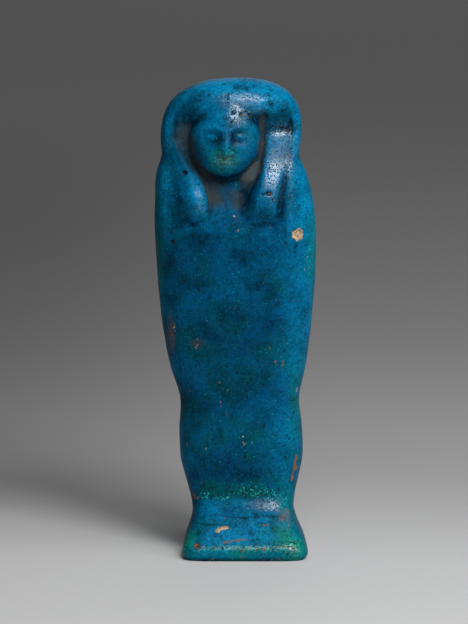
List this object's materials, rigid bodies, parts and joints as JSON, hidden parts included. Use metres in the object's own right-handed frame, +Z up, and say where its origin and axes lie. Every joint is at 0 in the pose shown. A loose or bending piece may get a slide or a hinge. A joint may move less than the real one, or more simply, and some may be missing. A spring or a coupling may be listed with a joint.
{
  "type": "ushabti figurine",
  "caption": "Small mummy-shaped funerary figurine in blue glazed faience, with a plain lappet wig and face, standing upright on its splayed foot.",
  "frame": {"origin": "middle of the bounding box's underside, in the plane of the flat sole", "axes": "+Z up along the figure, towards the crown; the face looks along -Y; +X is on the viewer's right"},
  "size_m": [0.0338, 0.0228, 0.1],
  "materials": {
    "blue_glaze": "glossy blue-turquoise faience glaze, mottled and worn, with small chips"
  },
  "bodies": {
    "root": {"ushabti": "blue_glaze"}
  },
  "joints": []
}
